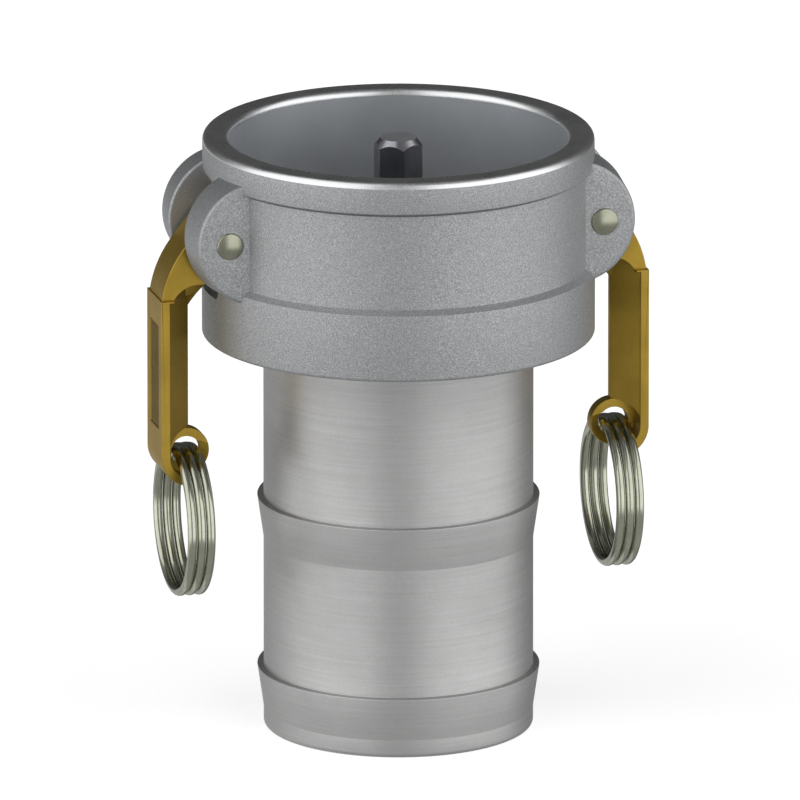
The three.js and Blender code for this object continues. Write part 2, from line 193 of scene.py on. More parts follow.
def anticlockwise(points):
    area = sum(
        points[i - 1][0] * points[i][1] - points[i][0] * points[i - 1][1] for i in range(len(points))
    )
    return points if area > 0 else points[::-1]


# ------------------------------------------------------------------ meshes


def new_object(name, verts, faces):
    """An object from vertices in millimetres."""
    mesh = bpy.data.meshes.new(name)
    mesh.from_pydata([tuple(c * MM for c in v) for v in verts], [], faces)
    bm = bmesh.new()
    bm.from_mesh(mesh)
    bmesh.ops.remove_doubles(bm, verts=bm.verts, dist=1e-7)
    bmesh.ops.dissolve_degenerate(bm, edges=bm.edges, dist=1e-7)
    bmesh.ops.recalc_face_normals(bm, faces=bm.faces)
    bm.to_mesh(mesh)
    bm.free()
    mesh.validate()
    obj = bpy.data.objects.new(name, mesh)
    bpy.context.scene.collection.objects.link(obj)
    return obj


def lathe(name, profile, segments, place=lambda r, t, h: (r * math.cos(t), r * math.sin(t), h)):
    """A closed (radius, height) profile turned about Z, or about the axis that place() describes."""
    profile = clean(profile)
    verts, rows = [], []
    for radius, height in profile:
        if radius < 1e-6:
            rows.append([len(verts)] * segments)
            verts.append(place(0.0, 0.0, height))
            continue
        rows.append([len(verts) + k for k in range(segments)])
        for k in range(segments):
            verts.append(place(radius, 2 * math.pi * k / segments, height))
    faces = []
    for i, row in enumerate(rows):
        above = rows[(i + 1) % len(rows)]
        for k in range(segments):
            n = (k + 1) % segments
            face = [row[k], row[n], above[n], above[k]]
            unique = [v for j, v in enumerate(face) if v not in face[:j]]
            if len(unique) > 2:
                faces.append(unique)
    return new_object(name, verts, faces)


def about_y(x, z):
    """For lathe(): turns about the line along Y through (x, z), with height along Y."""
    return lambda r, t, h: (x + r * math.cos(t), h, z + r * math.sin(t))


def slab(name, outline, low, high, edge, steps=4):
    """An outline in X and Z, extruded along Y, with its long edges rounded."""
    outline = anticlockwise(clean(outline))
    levels = []
    for k in range(steps + 1):
        t = math.pi / 2 * k / steps
        levels.append((edge * (1 - math.sin(t)), low + edge * (1 - math.cos(t))))
    levels += [(gap, high - (y - low)) for gap, y in reversed(levels)]
    verts, faces = [], []
    count = len(outline)
    for gap, y in levels:
        verts += [(x, y, z) for x, z in (inset(outline, gap) if gap > 1e-6 else outline)]
    for i in range(len(levels) - 1):
        for k in range(count):
            n = (k + 1) % count
            faces.append([i * count + k, i * count + n, (i + 1) * count + n, (i + 1) * count + k])
    faces.append(list(range(count)))
    faces.append(list(range((len(levels) - 1) * count, len(levels) * count)))
    return new_object(name, verts, faces)


def loft(name, sections):
    """Closed sections of equal length, joined in order and capped."""
    verts = [point for section in sections for point in section]
    count = len(sections[0])
    faces = []
    for i in range(len(sections) - 1):
        for k in range(count):
            n = (k + 1) % count
            faces.append([i * count + k, i * count + n, (i + 1) * count + n, (i + 1) * count + k])
    faces.append(list(range(count)))
    faces.append(list(range((len(sections) - 1) * count, len(sections) * count)))
    return new_object(name, verts, faces)


def combine(target, other, operation):
    """Joins or cuts two closed meshes; the other one is used up."""
    modifier = target.modifiers.new("boolean", "BOOLEAN")
    modifier.object = other
    modifier.operation = operation
    modifier.solver = "MANIFOLD"
    bake(target)
    bpy.data.objects.remove(other)
    return target


def join(target, *others):
    for other in others:
        combine(target, other, "UNION")
    return target


def cut(target, *others):
    for other in others:
        combine(target, other, "DIFFERENCE")
    return target


def tidy_shading(obj, angle=32):
    """Smooth shading that stays sharp at edges over the angle."""
    bm = bmesh.new()
    bm.from_mesh(obj.data)
    bmesh.ops.remove_doubles(bm, verts=bm.verts, dist=2e-6)
    bmesh.ops.dissolve_degenerate(bm, edges=bm.edges, dist=1e-6)
    limit = math.radians(angle)
    for face in bm.faces:
        face.smooth = True
    for edge in bm.edges:
        edge.smooth = len(edge.link_faces) == 2 and edge.calc_face_angle(0) < limit
    bm.to_mesh(obj.data)
    bm.free()
    return obj


def bake(obj):
    """Turns what the modifiers show into the object's own mesh."""
    bpy.context.view_layer.update()
    result = bpy.data.meshes.new_from_object(obj.evaluated_get(bpy.context.evaluated_depsgraph_get()))
    obj.modifiers.clear()
    old = obj.data
    obj.data = result
    bpy.data.meshes.remove(old)
    return obj


def even_shading(obj):
    """Normals weighted by face area, so that flat faces shade flat next to small fillets."""
    modifier = obj.modifiers.new("weighted", "WEIGHTED_NORMAL")
    modifier.keep_sharp = True
    return bake(obj)


def copied(obj, name, move):
    """A copy with a mesh of its own, moved by a matrix."""
    twin = obj.copy()
    twin.data = obj.data.copy()
    twin.name = twin.data.name = name
    twin.data.transform(move)
    bpy.context.scene.collection.objects.link(twin)
    return twin


# ------------------------------------------------------------------ materials


class Nodes:
    """A short way to write a material's node tree."""

    def __init__(self, name):
        self.material = bpy.data.materials.new(name)
        self.material.use_nodes = True
        self.tree = self.material.node_tree
        self.shader = self.tree.nodes["Principled BSDF"]
        coords = self.tree.nodes.new("ShaderNodeTexCoord")
        self.place = coords.outputs["Object"]

    def add(self, kind, inputs=None, **settings):
        node = self.tree.nodes.new(kind)
        for key, value in settings.items():
            setattr(node, key, value)
        for key, value in (inputs or {}).items():
            self.put(node.inputs[key], value)
        return node

    def put(self, socket, value):
        if isinstance(value, bpy.types.NodeSocket):
            self.tree.links.new(value, socket)
        else:
            socket.default_value = value

    def stretched(self, x, y, z):
        return self.add("ShaderNodeMapping", {"Vector": self.place, "Scale": (x, y, z)}).outputs["Vector"]

    def noise(self, scale, detail=2.0, rough=0.5, vector=None):
        inputs = {"Vector": vector or self.place, "Scale": scale, "Detail": detail, "Roughness": rough}
        return self.add("ShaderNodeTexNoise", inputs).outputs["Fac"]

    def ramp(self, value, *stops):
        node = self.add("ShaderNodeValToRGB", {"Fac": value})
        elements = node.color_ramp.elements
        while len(elements) < len(stops):
            elements.new(0.5)
        for element, (position, colour) in zip(elements, stops):
            element.position = position
            element.color = (*colour, 1) if len(colour) == 3 else colour
        return node.outputs["Color"]

    def scaled(self, value, low, high, start=0.0, end=1.0):
        inputs = {"Value": value, "From Min": start, "From Max": end, "To Min": low, "To Max": high}
        return self.add("ShaderNodeMapRange", inputs).outputs["Result"]

    def math(self, operation, a, b=0.0):
        node = self.add("ShaderNodeMath", operation=operation)
        self.put(node.inputs[0], a)
        self.put(node.inputs[1], b)
        return node.outputs["Value"]

    def mixed(self, amount, a, b, blend="MIX"):
        node = self.add("ShaderNodeMix", data_type="RGBA", blend_type=blend)
        self.put(node.inputs["Factor"], amount)
        self.put(node.inputs["A"], a if isinstance(a, bpy.types.NodeSocket) else (*a, 1))
        self.put(node.inputs["B"], b if isinstance(b, bpy.types.NodeSocket) else (*b, 1))
        return node.outputs["Result"]

    def bump(self, height, strength, distance, under=None):
        inputs = {"Height": height, "Strength": strength, "Distance": distance}
        if under is not None:
            inputs["Normal"] = under
        return self.add("ShaderNodeBump", inputs).outputs["Normal"]

    def finish(self, colour, roughness, normal, metallic=1.0, **fixed):
        self.put(self.shader.inputs["Base Color"], colour)
        self.put(self.shader.inputs["Roughness"], roughness)
        self.put(self.shader.inputs["Normal"], normal)
        self.put(self.shader.inputs["Metallic"], metallic)
        for name, value in fixed.items():
            self.shader.inputs[name.replace("_", " ")].default_value = value
        return self.material


def grey(value, warmth=0.0):
    return (value * (1 + warmth), value, value * (1 - warmth))


def cast_aluminium(name="cast_aluminium"):
    n = Nodes(name)
    grain = n.noise(2300, 2, 0.6)
    pits = n.noise(700, 2, 0.5)
    cloud = n.noise(45, 3, 0.6)
    sparkle = n.ramp(
        grain, (0.34, (0.30, 0.308, 0.314)), (0.52, (0.395, 0.404, 0.411)), (0.70, (0.56, 0.572, 0.580)),
    )
    colour = n.mixed(n.scaled(cloud, 0.0, 0.12, 0.3, 0.7), sparkle, (0.335, 0.342, 0.348))
    roughness = n.scaled(grain, 0.60, 0.44, 0.3, 0.7)
    normal = n.bump(pits, 0.12, 0.00035, n.bump(grain, 0.5, 0.00016))
    return n.finish(colour, roughness, normal, 0.82)


def machined_aluminium(name="machined_aluminium"):
    n = Nodes(name)
    drift = n.noise(70, 3, 0.6)
    speck = n.noise(900, 2, 0.5)
    blend = n.math("ADD", n.math("MULTIPLY", drift, 0.6), n.math("MULTIPLY", speck, 0.4))
    colour = n.ramp(blend, (0.35, (0.70, 0.705, 0.715)), (0.65, (0.80, 0.805, 0.815)))
    roughness = n.scaled(blend, 0.26, 0.34, 0.35, 0.65)
    return n.finish(colour, roughness, n.bump(drift, 0.03, 0.0001), 1.0)


def bowl_aluminium(name="bowl_aluminium"):
    """The even, slightly blue matt inside of the bowl."""
    n = Nodes(name)
    grain = n.noise(1100, 3, 0.6)
    drift = n.noise(40, 3, 0.6)
    base = n.ramp(drift, (0.35, (0.43, 0.452, 0.478)), (0.65, (0.48, 0.503, 0.530)))
    colour = n.mixed(n.scaled(grain, 0.0, 0.25, 0.35, 0.65), base, (0.33, 0.346, 0.364))
    return n.finish(colour, n.scaled(grain, 0.62, 0.52, 0.35, 0.65), n.bump(grain, 0.2, 0.0001), 0.75)


def turned_aluminium(name="turned_aluminium"):
    n = Nodes(name)
    parts = n.add("ShaderNodeSeparateXYZ", {"Vector": n.place}).outputs
    grooves = n.math("SINE", n.math("MULTIPLY", parts["Z"], 11000.0))
    rings = n.noise(1.0, 4, 0.7, n.stretched(20, 20, 900))
    cloud = n.noise(30, 4, 0.6)
    speck = n.noise(1300, 2, 0.5)
    blend = n.math("ADD", n.math("MULTIPLY", rings, 0.5), n.math("MULTIPLY", cloud, 0.5))
    base = n.ramp(blend, (0.35, grey(0.44, 0.004)), (0.65, grey(0.54, 0.004)))
    colour = n.mixed(n.scaled(speck, 0.0, 0.25, 0.4, 0.7), base, grey(0.38, 0.004))
    roughness = n.scaled(blend, 0.50, 0.42, 0.3, 0.7)
    normal = n.bump(grooves, 0.08, 0.00003, n.bump(speck, 0.1, 0.00005))
    return n.finish(colour, roughness, normal, 0.9)


def brass(name="arm_brass", shade=1.0):
    n = Nodes(name)
    grain = n.noise(1700, 3, 0.6)
    cloud = n.noise(60, 4, 0.6)
    light = tuple(c * shade for c in (0.455, 0.302, 0.048))
    dark = tuple(c * shade for c in (0.365, 0.243, 0.037))
    colour = n.mixed(n.scaled(grain, 0.0, 0.35, 0.4, 0.7), n.ramp(cloud, (0.35, dark), (0.62, light)), dark)
    roughness = n.scaled(n.math("ADD", n.math("MULTIPLY", grain, 0.7), n.math("MULTIPLY", cloud, 0.3)),
                         0.48, 0.36, 0.35, 0.65)
    normal = n.bump(grain, 0.25, 0.0001, n.bump(n.noise(260, 2, 0.5), 0.08, 0.0002))
    return n.finish(colour, roughness, normal, 0.9)


def stainless(name, tint, low, high):
    n = Nodes(name)
    cloud = n.noise(180, 3, 0.6)
    fine = n.noise(2200, 2, 0.5)
    colour = n.ramp(cloud, (0.35, tuple(0.86 * c for c in tint)), (0.65, tint))
    roughness = n.scaled(fine, low, high, 0.3, 0.7)
    return n.finish(colour, roughness, n.bump(fine, 0.08, 0.00004), 1.0)


def dark_steel(name="probe_steel"):
    n = Nodes(name)
    streaks = n.noise(1.0, 3, 0.6, n.stretched(900, 900, 60))
    cloud = n.noise(120, 3, 0.6)
    blend = n.math("ADD", n.math("MULTIPLY", streaks, 0.5), n.math("MULTIPLY", cloud, 0.5))
    colour = n.ramp(blend, (0.35, (0.30, 0.30, 0.325)), (0.65, (0.36, 0.36, 0.385)))
    roughness = n.scaled(blend, 0.20, 0.28, 0.3, 0.7)
    return n.finish(colour, roughness, n.bump(streaks, 0.03, 0.00003), 1.0)


def sawn_steel(name="probe_steel_end"):
    """The lighter, matt end of the probe's bar."""
    n = Nodes(name)
    fine = n.noise(1500, 3, 0.6)
    cloud = n.noise(150, 3, 0.6)
    colour = n.ramp(cloud, (0.35, (0.33, 0.345, 0.36)), (0.65, (0.39, 0.405, 0.42)))
    return n.finish(colour, n.scaled(fine, 0.50, 0.60, 0.3, 0.7), n.bump(fine, 0.1, 0.00005), 0.7)


def rubber(name="gasket_rubber"):
    n = Nodes(name)
    fine = n.noise(1600, 3, 0.6)
    cloud = n.noise(90, 3, 0.6)
    colour = n.ramp(cloud, (0.35, (0.016, 0.016, 0.017)), (0.7, (0.03, 0.03, 0.031)))
    return n.finish(colour, n.scaled(fine, 0.5, 0.66, 0.3, 0.7), n.bump(fine, 0.2, 0.00006), 0.0)


MATERIALS = {
    "cast": cast_aluminium(),
    "machined": machined_aluminium(),
    "bowl": bowl_aluminium(),
    "turned": turned_aluminium(),
    "brass": brass(),
    "brass_recess": brass("arm_brass_recess", 0.45),
    "ring": stainless("ring_steel", (0.51, 0.525, 0.42), 0.14, 0.22),
    "pin": stainless("pin_steel", (0.37, 0.38, 0.29), 0.20, 0.28),
    "zinc": stainless("fastener_steel", (0.58, 0.58, 0.56), 0.28, 0.40),
    "probe": dark_steel(),
    "probe_end": sawn_steel(),
    "rubber": rubber(),
}


def dress(obj, body, slot, nodes, *materials):
    """Gives a finished piece its materials and its place in the frame."""
    obj.data.materials.clear()
    for material in materials:
        obj.data.materials.append(MATERIALS[material])
    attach(obj, body)
    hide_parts(*nodes)
    return obj


# ------------------------------------------------------------------ coupler head


def ear_disc(side, front):
    """One hinge ear: a tapered disc along Y with rounded edges."""
    way = -1 if front else 1
    profile = rounded([
        (0, EAR_INNER, 0), (EAR_ROOT, EAR_INNER, 1.0), (EAR_TIP, EAR_OUTER, 1.4), (0, EAR_OUTER, 0),
    ], 6)
    return lathe("ear", [(r, way * y) for r, y in profile], 144, about_y(side * EAR_X, depth(EAR_DEPTH)))


def slot_cutter(side):
    """The window for the cam nose, with rounded corners."""
    outline = rounded([
        (-SLOT_HALF, depth(SLOT_FOOT), SLOT_CORNER), (SLOT_HALF, depth(SLOT_FOOT), SLOT_CORNER),
        (SLOT_HALF, depth(SLOT_TOP), SLOT_CORNER), (-SLOT_HALF, depth(SLOT_TOP), SLOT_CORNER),
    ], 6)
    near, far = 50.0, 90.0
    return loft("slot", [[(side * x, y, z) for y, z in outline] for x in (near, far)])


def coupler_head():
    groove_top = GASKET_HIGH.z + 0.3
    profile = rounded([
        (SHANK_RADIUS + SEAM, HEAD_LOW.z, 0.4),
        (HEAD_HIGH.y, HEAD_LOW.z, 1.3),
        (HEAD_HIGH.y, depth(LEDGE_FOOT), 0.4),
        (BAND_RADIUS, depth(LEDGE_TOP), 0.3),
        (BAND_RADIUS, depth(RIM_DEPTH + LINE_HEIGHT), 0.3),
        (BAND_RADIUS - LINE_DEPTH, depth(RIM_DEPTH + LINE_HEIGHT - 0.6), 0.3),
        (BAND_RADIUS - LINE_DEPTH + 0.2, depth(RIM_DEPTH), 0.2),
        (RIM_RADIUS, depth(RIM_DEPTH), 0.6),
        (RIM_RADIUS, TOP, RIM_EDGE),
        (BOWL_BORE, TOP, BORE_EDGE),
        (BOWL_BORE, groove_top, 0.3),
        (GROOVE_RADIUS, groove_top, 0.3),
        (GROOVE_RADIUS, SEAT, 0.3),
        (COUNTERBORE, SEAT, 0.3),
        (COUNTERBORE, COLLAR_FOOT - SEAM, 0),
        (SHANK_RADIUS + SEAM, COLLAR_FOOT - SEAM, 0.3),
    ], 6)
    head = lathe("head_visual", profile, FINE)
    ears = [ear_disc(side, front) for side in (1, -1) for front in (True, False)]
    inside_wall, below, above = BOWL_BORE + 2.0, 150, 230
    hollow = lathe("hollow", [(0, below), (inside_wall, below), (inside_wall, above), (0, above)], FINE)
    for ear in ears[1:]:
        join(ears[0], ear)
    cut(ears[0], hollow)
    join(head, ears[0])
    cut(head, slot_cutter(1), slot_cutter(-1))
    for side in (1, -1):
        reach = EAR_OUTER + 5
        radius = PIN_SHANK + PIN_FIT
        hole = [(0, -reach), (radius, -reach), (radius, reach), (0, reach)]
        cut(head, lathe("pin_hole", hole, 64, about_y(side * PIN.x, PIN.z)))
    tidy_shading(head)
    dress(head, "coupler", "cast_aluminium", ["coupler_head"], "cast", "machined", "bowl")
    for face in head.data.polygons:
        x, y, z = (c / MM for c in face.center)
        radius = math.hypot(x, y)
        on_rim = z > TOP - RIM_ZONE and radius < RIM_RADIUS + 0.1
        in_window = abs(y) < SLOT_HALF + 0.1 and radius > BOWL_BORE + 0.1
        inside = radius < GROOVE_RADIUS + 0.2 and not in_window
        face.material_index = 1 if on_rim else 2 if inside else 0
    return head


# ------------------------------------------------------------------ hose shank, spider, gasket


def barb(top):
    foot = top - BARB_LENGTH
    return [(SHANK_RADIUS, foot, 1.5), (BARB_RADIUS, top, 0.35), (SHANK_RADIUS, top, 0.3)]


def hose_shank():
    profile = rounded([
        (SHANK_BORE, 0, 0.5),
        (SHANK_RADIUS, 0, 1.6),
        *[corner for top in BARB_TOPS for corner in barb(top)],
        (SHANK_RADIUS, COLLAR_FOOT, 0.3),
        (SHANK_HIGH.x, COLLAR_FOOT, 0.3),
        (SHANK_HIGH.x, SEAT, 0.4),
        (MOUTH_RADIUS, SEAT, 0.5),
        (MOUTH_RADIUS, MOUTH_FOOT, 0),
        (SHANK_BORE, MOUTH_FOOT, 0.3),
    ], 5)
    shank = tidy_shading(lathe("shank_visual", profile, FINE))
    return dress(shank, "coupler", "turned_aluminium", ["hose_shank"], "turned")


def spider():
    hub_foot, hub_top = SPIDER_LOW.z, SPIDER_HIGH.z
    ring_foot, top = MOUTH_FOOT + 0.1, SPIDER_HIGH.z - 0.7
    outer = SPIDER_HIGH.x + SEAM
    ring = lathe("spider_visual", rounded([
        (SHANK_BORE, ring_foot, 0.6), (outer, ring_foot, 0.4), (outer, top, 0.4), (SHANK_BORE, top, 0.8),
    ]), FINE)
    hub = lathe("hub", rounded([
        (BOLT_HOLE, hub_foot, 0.5), (HUB_RADIUS, hub_foot, 1.2),
        (HUB_RADIUS, hub_top, 1.0), (BOLT_HOLE, hub_top, 0.4),
    ]), 96)
    section = rounded([
        (-RIB_FOOT_HALF, ring_foot, 1.2), (RIB_FOOT_HALF, ring_foot, 1.2),
        (RIB_TOP_HALF, top, 1.2), (-RIB_TOP_HALF, top, 1.2),
    ])
    reach = SHANK_BORE + 1.2
    along_x = loft("rib", [[(end, side, z) for side, z in section] for end in (-reach, reach)])
    along_y = loft("rib", [[(-side, end, z) for side, z in section] for end in (-reach, reach)])
    join(ring, along_x, along_y, hub)
    below, above = hub_foot - 5, hub_top + 5
    cut(ring, lathe("bore", [(0, below), (BOLT_HOLE, below), (BOLT_HOLE, above), (0, above)], 96))
    tidy_shading(ring)
    return dress(ring, "coupler", "cast_aluminium", ["probe_spider"], "cast")


def gasket():
    inner, flat, bevel = 50.8, 59.7, 0.8
    outer, low, high = GASKET_HIGH.x, GASKET_LOW.z, GASKET_HIGH.z
    profile = rounded([
        (inner, low, 0.6), (flat, low, 0.8), (outer, low + bevel, 0.5),
        (outer, high - bevel, 0.5), (flat, high, 0.8), (inner, high, 0.6),
    ])
    seal = tidy_shading(lathe("gasket_visual", profile, FINE))
    return dress(seal, "coupler", "gasket_rubber", ["bowl_gasket"], "rubber")


# ------------------------------------------------------------------ probe and its fastening


def hex_radius(angle, flats, turn, corner):
    """Distance from the axis to a hexagon's side, with its corners eased to a stated radius."""
    step = math.pi / 3
    off = (angle - turn + step / 2) % step - step / 2
    return min(flats / 2 / math.cos(off), corner)


def hex_bar(name, flats, low, high, turn, chamfer_low, chamfer_high, slope):
    """A hexagonal bar with conical chamfers, given as the radius where each cone starts, or None."""
    segments = 180
    corner = flats / math.sqrt(3) - 0.12
    rise = math.tan(math.radians(slope))
    verts, rows = [], []
    angles = [2 * math.pi * k / segments + turn for k in range(segments)]

    def row(radius_height):
        rows.append(range(len(verts), len(verts) + segments))
        for angle in angles:
            radius, height = radius_height(hex_radius(angle, flats, turn, corner))
            verts.append((radius * math.cos(angle), radius * math.sin(angle), height))

    if chamfer_low is None:
        row(lambda r: (r, low))
    else:
        row(lambda r: (chamfer_low, low))
        row(lambda r: (r, low + max(0.0, r - chamfer_low) * rise))
    if chamfer_high is None:
        row(lambda r: (r, high))
    else:
        row(lambda r: (r, high - max(0.0, r - chamfer_high) * rise))
        row(lambda r: (chamfer_high, high))
    faces = []
    for lower, upper in zip(rows, rows[1:]):
        for k in range(segments):
            n = (k + 1) % segments
            faces.append([lower[k], lower[n], upper[n], upper[k]])
    faces += [list(rows[0]), list(rows[-1])]
    return new_object(name, verts, faces)


def probe_post():
    foot = POST_LOW.z
    post = hex_bar(
        "post_visual", POST_FLATS, foot, POST_HIGH.z, PROBE_TURN, None, POST_CHAMFER_RADIUS, POST_CHAMFER,
    )
    tap = [(0, foot - 2), (TAP_RADIUS, foot - 2), (TAP_RADIUS, foot + TAP_DEPTH), (0, foot + TAP_POINT)]
    cut(post, lathe("tap", tap, 48))
    tidy_shading(post, 20)
    dress(post, "coupler", "probe_steel", ["probe_post"], "probe", "probe_end")
    for face in post.data.polygons:
        face.material_index = 1 if face.center.z / MM > POST_HIGH.z - 0.01 else 0


def probe_bolt():
    foot, tip = BOLT_LOW.z, BOLT_HIGH.z
    bolt = hex_bar(
        "bolt_visual", BOLT_FLATS, foot, foot + BOLT_HEAD, PROBE_TURN,
        BOLT_CHAMFER_RADIUS, None, BOLT_CHAMFER,
    )
    shank = lathe("bolt_shank", rounded([
        (0, foot + 2, 0), (BOLT_RADIUS, foot + 2, 0), (BOLT_RADIUS, tip, 0.8), (0, tip, 0),
    ]), 64)
    join(bolt, shank)
    tidy_shading(bolt, 20)
    return dress(bolt, "coupler", "fastener_steel", ["probe_bolt"], "zinc")


def probe_washers():
    flat = lathe("washer_visual", rounded([
        (BOLT_HOLE, WASHER_LOW.z, 0.15), (WASHER_HIGH.x, WASHER_LOW.z, 0.3),
        (WASHER_HIGH.x, WASHER_HIGH.z, 0.3), (BOLT_HOLE, WASHER_HIGH.z, 0.15),
    ]), 96)
    dress(tidy_shading(flat), "coupler", "fastener_steel", ["probe_washer"], "zinc")
    steps, gap, rise = 90, math.radians(8), 0.3
    low, high = LOCK_LOW.z + 0.1, LOCK_HIGH.z - 0.1 - rise
    sections = []
    outline = rounded([
        (BOLT_HOLE, low, 0.2), (LOCK_RADIUS, low, 0.2), (LOCK_RADIUS, high, 0.2), (BOLT_HOLE, high, 0.2),
    ], 3)
    for i in range(steps + 1):
        angle = gap / 2 + (2 * math.pi - gap) * i / steps
        lift = rise * i / steps
        sections.append([(r * math.cos(angle), r * math.sin(angle), z + lift) for r, z in outline])
    spring = loft("lock_washer_visual", sections)
    dress(tidy_shading(spring), "coupler", "fastener_steel", ["probe_lock_washer"], "zinc")


# ------------------------------------------------------------------ hinge pins


def hinge_pin():
    """A plain pin with a domed button head at each end."""
    face = EAR_OUTER + 0.02
    head = PIN_HIGH.x - PIN.x - 0.05
    crown, edge = 1.35, 0.65
    cap = crown - edge
    sphere = ((head - edge) ** 2 + cap ** 2) / (2 * cap)
    dome = []
    for k in range(12):
        r = (head - edge) * (1 - k / 12)
        dome.append((r, face + edge + cap - sphere + math.sqrt(sphere ** 2 - r ** 2)))
    corner = arc(head - edge, face, edge, 0, 68, 8)
    button = [(PIN_SHANK, face), *corner, *dome[1:], (0, face + crown)]
    profile = [*button, *[(r, -y) for r, y in reversed(button)]]
    return tidy_shading(lathe("pin_visual_right", profile, 96, about_y(PIN.x, PIN.z)))


# ------------------------------------------------------------------ cam arm


ARM_HALF = ARM_HIGH.y
HEAD_HALF = 9.1
ARM_FACE = ARM_HIGH.x
FLANGE = 3.2
FLANGE_TOP = 53.7
UNDERSIDE = 48.8
RIDGE = 77.3
RIDGE_HALF = 1.3
TAB_RADIUS, TAB_HALF = 8.5, 2.6
EYE_HOLE = 5.4
CURL = 10.8
CURL_END = -71
ARMPIT_X, ARMPIT_RADIUS = 75.3, 10.2
LIP_X, LIP_FOOT = 84.5, 54.5
GUSSET_REACH, GUSSET_DROP = 8.5, 9.0
PANEL_TOP, PANEL_FOOT, PANEL_HALF, PANEL_DEPTH = 63.5, 101.3, 6.2, 0.5


def quadratic(a, b, c, steps):
    points = []
    for i in range(steps + 1):
        t = i / steps
        points.append(tuple((1 - t) ** 2 * p + 2 * t * (1 - t) * q + t * t * r for p, q, r in zip(a, b, c)))
    return points


def head_outline():
    """Cam nose, boss and curved back, in X and Z."""
    boss, back_radius, flat = 7.2, 39.8, 38
    back = (PIN.x - 19.0, PIN.z - 29.5)
    boss_end = flat + math.degrees(math.acos(6.7 / boss))
    step, under = depth(FLANGE_TOP), depth(UNDERSIDE)
    foot = step - 0.4
    back_end = math.degrees(math.asin((step - back[1]) / back_radius))
    nose = (PIN.x - 8.2, PIN.z - 2.5)
    heel = (PIN.x + 5.3, under)
    armpit = (ARMPIT_X, under - ARMPIT_RADIUS)
    armpit_start = math.degrees(math.asin((foot - armpit[1]) / ARMPIT_RADIUS))
    back_foot = back[0] + back_radius * math.cos(math.radians(back_end))
    return [
        *arc(PIN.x, PIN.z, boss, 115, boss_end, 10),
        *arc(*back, back_radius, flat, back_end, 18),
        (back_foot, foot),
        *arc(*armpit, ARMPIT_RADIUS, armpit_start, 90, 12),
        *quadratic(heel, (PIN.x - 3.5, under + 1.5), (PIN.x - 5.1, PIN.z - 7.87), 10),
        *arc(*nose, 6.2, -60, -250, 24),
    ]


def flange_outline():
    """The handle's flange with its thicker upper edge, and its curl round the eye."""
    step, inside = depth(FLANGE_TOP), ARM_FACE - FLANGE
    inner_curl = CURL - FLANGE
    tip_radius = FLANGE / 2
    end = math.radians(CURL_END)
    middle = CURL - tip_radius
    tip = (EYE.x + middle * math.cos(end), EYE.z + middle * math.sin(end))
    return [
        (LIP_X, step), (ARM_FACE - 0.1, step), (ARM_FACE, step - 0.1),
        *[(ARM_FACE, step + (EYE.z - step) * k / 12) for k in range(1, 12)],
        *arc(EYE.x, EYE.z, CURL, 0, CURL_END, 20),
        *arc(*tip, tip_radius, CURL_END - 15, CURL_END - 165, 8),
        *arc(EYE.x, EYE.z, inner_curl, CURL_END, 0, 18),
        *[(inside, EYE.z + (depth(LIP_FOOT) - EYE.z) * k / 12) for k in range(1, 13)],
        (LIP_X, depth(LIP_FOOT)),
    ]


def arm_web():
    """The web behind the flange: wide at the flange, narrow at the ridge, and braced under the head."""
    root = ARM_FACE - FLANGE + 0.6
    foot, under = EYE.z - 1.0, depth(UNDERSIDE)
    slope = (ARM_HALF - 0.2 - RIDGE_HALF) / (root - RIDGE)
    shoulder = RIDGE + 1.2
    meet = RIDGE + (HEAD_HALF - 0.1 - RIDGE_HALF) / slope

    def section(z, reach, far, half):
        outline = rounded([
            (RIDGE - reach, -RIDGE_HALF, 0.7), (shoulder, -RIDGE_HALF - 1.2 * slope, 0), (far, -half, 0),
            (far, half, 0), (shoulder, RIDGE_HALF + 1.2 * slope, 0), (RIDGE - reach, RIDGE_HALF, 0.7),
        ], 4)
        return [(x, y, z) for x, y in outline]

    lower = [section(z, 0.0, root, ARM_HALF - 0.2) for z in (foot, EYE.z + 12, depth(FLANGE_TOP) - 0.4)]
    upper = []
    for k in range(9):
        rise = k / 8
        hollow = 0.5 * math.sin(math.pi * rise)
        height = under - GUSSET_DROP * (1 - rise)
        upper.append(section(height, GUSSET_REACH * rise - hollow, meet, HEAD_HALF - 0.1))
    upper.append(section(under + 2.2, GUSSET_REACH, meet, HEAD_HALF - 0.1))
    return join(loft("web", lower), loft("brace", upper))


def about_eye(name, profile, segments=96):
    return lathe(name, profile, segments, about_y(EYE.x, EYE.z))


def ring_pocket(side):
    """The room beside the eye that the pull ring turns in."""
    floor_radius, mouth_radius, mouth = 6.2, 7.65, ARM_HALF + 1
    points = [(0, TAB_HALF), (floor_radius, TAB_HALF), (mouth_radius, mouth), (0, mouth)]
    return about_eye("pocket", [(r, side * y) for r, y in points])


def eye_relief(side):
    """The hollow that lets the tab's round edge stand clear of the web."""
    radius, mouth = TAB_RADIUS - 0.1, ARM_HALF + 1
    points = [(0, TAB_HALF), (radius, TAB_HALF), (radius, mouth), (0, mouth)]
    return about_eye("relief", [(r, side * y) for r, y in points])


def eye_sink(side):
    """The sloping sink below the eye's flat upper face, on one side of the tab."""
    floor_half, rim = 1.1, TAB_RADIUS - 0.25
    slope = (rim - EYE_HOLE) / (TAB_HALF - floor_half)
    mouth = TAB_HALF + 0.5
    points = [(0, floor_half), (EYE_HOLE, floor_half), (rim + 0.5 * slope, mouth), (0, mouth)]
    cone = about_eye("sink", [(r, side * y) for r, y in points])
    wide, half = 12, 6
    brow = [(EYE.x + x, EYE.z + z) for x, z in quadratic((wide, 0.2), (0, 8.0), (-wide, 0.2), 16)]
    corners = [(EYE.x - wide, EYE.z - wide), (EYE.x + wide, EYE.z - wide)]
    return combine(cone, slab("keep", [*brow, *corners], -half, half, 0.01, 1), "INTERSECT")


